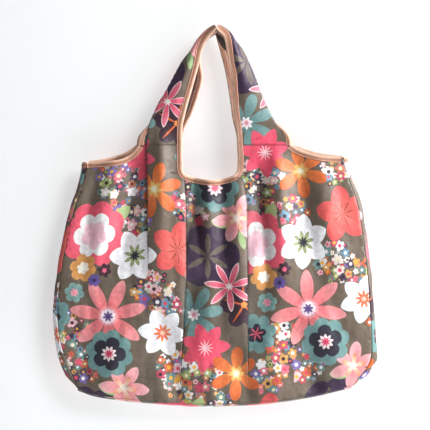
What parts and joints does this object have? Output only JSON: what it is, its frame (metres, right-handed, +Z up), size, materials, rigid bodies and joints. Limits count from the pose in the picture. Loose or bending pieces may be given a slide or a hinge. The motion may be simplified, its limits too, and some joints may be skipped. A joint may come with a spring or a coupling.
{
  "type": "foldable tote bag",
  "caption": "Lightweight foldable shopping tote with wide strap handles, bound edges, pleated neck, side gussets and an inner stow pouch; hung by its handles.",
  "frame": {"origin": "the seat under the top of the two handle loops, where a hook's rod lies", "axes": "+Z up, the bag hangs down to -Z; the front faces -Y; +X to the right seen from the front"},
  "size_m": [0.551, 0.0524, 0.6411],
  "materials": {
    "printed_cloth": "plain-woven polyester taffeta with a large flower print on taupe, soft sheen",
    "bias_binding": "folded apricot polyester bias tape with a lockstitch, satin sheen",
    "pouch_cloth": "the same printed taffeta, single layer",
    "label_tape": "white woven label tape, blank",
    "sewing_thread": "brown polyester sewing thread, bar tacked",
    "snap_plastic": "moulded brown acetal press stud"
  },
  "bodies": {
    "tote_body": {"back_left_armhole_binding": "bias_binding", "back_neck_binding": "bias_binding", "back_panel_upper": "printed_cloth", "back_pleat_tacks": "sewing_thread", "back_right_armhole_binding": "bias_binding", "care_label": "label_tape", "front_left_armhole_binding": "bias_binding", "front_neck_binding": "bias_binding", "front_panel_upper": "printed_cloth", "front_pleat_tacks": "sewing_thread", "front_right_armhole_binding": "bias_binding", "left_gusset_binding": "bias_binding", "left_gusset_upper": "printed_cloth", "pouch_hanging_tape": "bias_binding", "right_gusset_binding": "bias_binding", "right_gusset_upper": "printed_cloth"},
    "lower_body": {"front_panel_lower": "printed_cloth", "back_panel_lower": "printed_cloth", "left_gusset_lower": "printed_cloth", "right_gusset_lower": "printed_cloth", "base_panel": "printed_cloth"},
    "front_handle": {"front_handle_left_inner_binding": "bias_binding", "front_handle_left_outer_binding": "bias_binding", "front_handle_left_strap": "printed_cloth", "front_handle_right_inner_binding": "bias_binding", "front_handle_right_outer_binding": "bias_binding", "front_handle_right_strap": "printed_cloth", "front_handle_top": "printed_cloth"},
    "back_handle": {"back_handle_left_inner_binding": "bias_binding", "back_handle_left_outer_binding": "bias_binding", "back_handle_left_strap": "printed_cloth", "back_handle_right_inner_binding": "bias_binding", "back_handle_right_outer_binding": "bias_binding", "back_handle_right_strap": "printed_cloth", "back_handle_top": "printed_cloth"},
    "stow_pouch": {"pouch_back": "pouch_cloth", "pouch_edging": "bias_binding", "pouch_front": "pouch_cloth", "pouch_mouth_hem": "bias_binding", "snap_back_cap": "snap_plastic", "snap_front_cap": "snap_plastic", "snap_socket": "snap_plastic", "snap_stud": "snap_plastic"}
  },
  "joints": [
    {"name": "bag_fold", "type": "hinge", "parent": "tote_body", "child": "lower_body", "pos_m": [0, -0.0275, -0.43015], "axis": [-1, 0, 0], "range_deg": [0, 138]},
    {"name": "front_handle_fold", "type": "hinge", "parent": "tote_body", "child": "front_handle", "pos_m": [0, -0.0155, -0.195], "axis": [1, 0, 0], "range_deg": [0, 172]},
    {"name": "back_handle_fold", "type": "hinge", "parent": "tote_body", "child": "back_handle", "pos_m": [0, 0.0155, -0.195], "axis": [-1, 0, 0], "range_deg": [0, 172]},
    {"name": "pouch_swing", "type": "hinge", "parent": "tote_body", "child": "stow_pouch", "pos_m": [0, 0.0134, -0.27975], "axis": [-1, 0, 0], "range_deg": [0, 10]}
  ]
}
